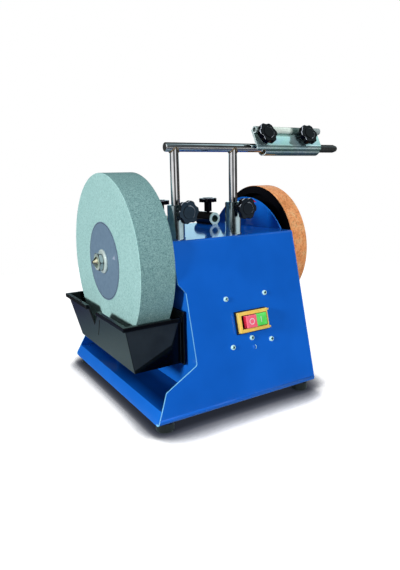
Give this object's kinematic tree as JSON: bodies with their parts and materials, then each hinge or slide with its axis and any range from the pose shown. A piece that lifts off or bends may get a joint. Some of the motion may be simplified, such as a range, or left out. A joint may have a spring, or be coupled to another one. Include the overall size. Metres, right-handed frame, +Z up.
{
  "type": "wet sharpening machine",
  "caption": "Bench wet grinder with a large stone in a water trough, a leather honing wheel, a friction motor in a sheet housing, a tool support bar and a clamping jig.",
  "frame": {"origin": "centre of the housing's base on the bench, between the feet", "axes": "+Z up, +X from the stone to the honing wheel, -Y towards the user and the switch"},
  "size_m": [0.3905, 0.3266, 0.3899],
  "materials": {
    "blue_paint": "gloss",
    "grey_stone": "matte",
    "label_paper": "matte",
    "zinc_steel": "satin",
    "chrome_steel": "polished",
    "spindle_steel": "ground",
    "black_steel": "gloss",
    "black_plastic": "satin",
    "honing_hide": "matte",
    "amber_plastic": "gloss",
    "red_plastic": "gloss",
    "green_plastic": "gloss",
    "black_rubber": "matte",
    "bearing_bronze": "turned",
    "motor_iron": "laminated",
    "motor_shell": "satin",
    "cast_light_alloy": "as cast"
  },
  "bodies": {
    "housing": {"housing_shell": "blue_paint", "left_side_panel": "blue_paint", "right_side_panel": "blue_paint", "base_tray": "blue_paint", "rubber_feet": "black_rubber", "foot_screws": "zinc_steel", "left_spindle_bearing": "bearing_bronze", "right_spindle_bearing": "bearing_bronze", "motor_pivot": "zinc_steel", "switch_gasket": "black_rubber", "switch_frame": "amber_plastic", "switch_body": "black_plastic", "control_box": "black_plastic", "control_box_screws": "zinc_steel", "earth_screw": "zinc_steel", "terminal_block": "black_plastic", "capacitor": "cast_light_alloy", "capacitor_clip": "zinc_steel", "cable_gland": "black_plastic", "gland_nut": "black_plastic", "upright_sleeves": "chrome_steel", "flat_sleeves": "black_steel"},
    "spindle": {"spindle": "spindle_steel", "drive_pin": "zinc_steel", "spindle_circlips": "zinc_steel", "stone_inner_flange": "zinc_steel", "grinding_stone": "grey_stone", "stone_label": "label_paper", "stone_washer": "zinc_steel", "stone_nut": "zinc_steel", "honing_wheel": "black_plastic", "honing_leather": "honing_hide", "honing_washer": "zinc_steel", "honing_nut": "zinc_steel"},
    "motor": {"motor_can": "motor_shell", "motor_left_bell": "cast_light_alloy", "motor_right_bell": "cast_light_alloy", "motor_stator": "motor_iron", "motor_bearings": "spindle_steel", "motor_bracket": "zinc_steel", "motor_screws": "zinc_steel"},
    "rotor": {"motor_shaft": "spindle_steel", "motor_rotor": "motor_iron", "motor_fan": "black_plastic", "friction_roller": "spindle_steel"},
    "support": {"support_bar": "chrome_steel", "support_legs": "chrome_steel"},
    "jig_carriage": {"jig_bush": "bearing_bronze"},
    "jig": {"jig_body": "zinc_steel", "jig_studs": "zinc_steel"},
    "jig_front": {"jig_clamp": "zinc_steel"},
    "left_jig_knob": {"left_jig_knob": "black_plastic"},
    "right_jig_knob": {"right_jig_knob": "black_plastic"},
    "left_upright_knob": {"left_upright_knob": "black_plastic"},
    "right_upright_knob": {"right_upright_knob": "black_plastic"},
    "left_flat_knob": {"left_flat_knob": "black_plastic"},
    "right_flat_knob": {"right_flat_knob": "black_plastic"},
    "stop_button": {"stop_button": "red_plastic"},
    "start_button": {"start_button": "green_plastic"},
    "trough": {"water_trough": "black_plastic"}
  },
  "joints": [
    {"name": "spindle_spin", "type": "hinge", "parent": "housing", "child": "spindle", "pos_m": [0, 0.0045, 0.202], "axis": [1, 0, 0], "continuous": true},
    {"name": "motor_swing", "type": "hinge", "parent": "housing", "child": "motor", "pos_m": [0.1235, -0.0705, 0.1503], "axis": [1, 0, 0], "range_deg": [0, 3]},
    {"name": "rotor_spin", "type": "hinge", "parent": "motor", "child": "rotor", "pos_m": [0.06, 0.0045, 0.1213], "axis": [1, 0, 0], "continuous": true},
    {"name": "support_height", "type": "slide", "parent": "housing", "child": "support", "axis": [0, 0, 1], "range_m": [-0.05, 0.017]},
    {"name": "jig_slide", "type": "slide", "parent": "support", "child": "jig_carriage", "axis": [1, 0, 0], "range_m": [-0.022, 0.034]},
    {"name": "jig_tilt", "type": "hinge", "parent": "jig_carriage", "child": "jig", "pos_m": [0.143, -0.086, 0.357], "axis": [1, 0, 0], "range_deg": [-40, 110]},
    {"name": "jig_open", "type": "slide", "parent": "jig", "child": "jig_front", "axis": [0, -0.891, 0.454], "range_m": [0, 0.005]},
    {"name": "left_jig_knob_turn", "type": "hinge", "parent": "jig_front", "child": "left_jig_knob", "pos_m": [0.0847, -0.09987, 0.37383], "axis": [0, -0.891, 0.454], "range_deg": [0, 1801]},
    {"name": "right_jig_knob_turn", "type": "hinge", "parent": "jig_front", "child": "right_jig_knob", "pos_m": [0.1617, -0.09987, 0.37383], "axis": [0, -0.891, 0.454], "range_deg": [0, 1801]},
    {"name": "left_upright_knob_turn", "type": "hinge", "parent": "housing", "child": "left_upright_knob", "pos_m": [-0.0562, -0.106, 0.2743], "axis": [0, -1, 0], "range_deg": [0, 360]},
    {"name": "right_upright_knob_turn", "type": "hinge", "parent": "housing", "child": "right_upright_knob", "pos_m": [0.0374, -0.106, 0.2743], "axis": [0, -1, 0], "range_deg": [0, 360]},
    {"name": "left_flat_knob_turn", "type": "hinge", "parent": "housing", "child": "left_flat_knob", "pos_m": [-0.0001, 0.07, 0.27], "axis": [0, 0, 1], "range_deg": [0, 360]},
    {"name": "right_flat_knob_turn", "type": "hinge", "parent": "housing", "child": "right_flat_knob", "pos_m": [0.0935, 0.07, 0.27], "axis": [0, 0, 1], "range_deg": [0, 360]},
    {"name": "stop_press", "type": "slide", "parent": "housing", "child": "stop_button", "axis": [0, 0.9682, -0.2502], "range_m": [0, 0.0035], "stiffness_N_per_m": 600, "springref_m": -0.002},
    {"name": "start_press", "type": "slide", "parent": "housing", "child": "start_button", "axis": [0, 0.9682, -0.2502], "range_m": [0, 0.0035], "stiffness_N_per_m": 600, "springref_m": -0.002},
    {"name": "trough_lift", "type": "slide", "parent": "housing", "child": "trough", "axis": [0, 0, 1], "range_m": [0, 0.0043]}
  ],
  "couplings": [
    {"joint": "rotor_spin", "follows": "spindle_spin", "ratio": 14.5},
    {"joint": "left_jig_knob_turn", "follows": "jig_open", "rad_per_m": 6283.2},
    {"joint": "right_jig_knob_turn", "follows": "jig_open", "rad_per_m": 6283.2}
  ]
}
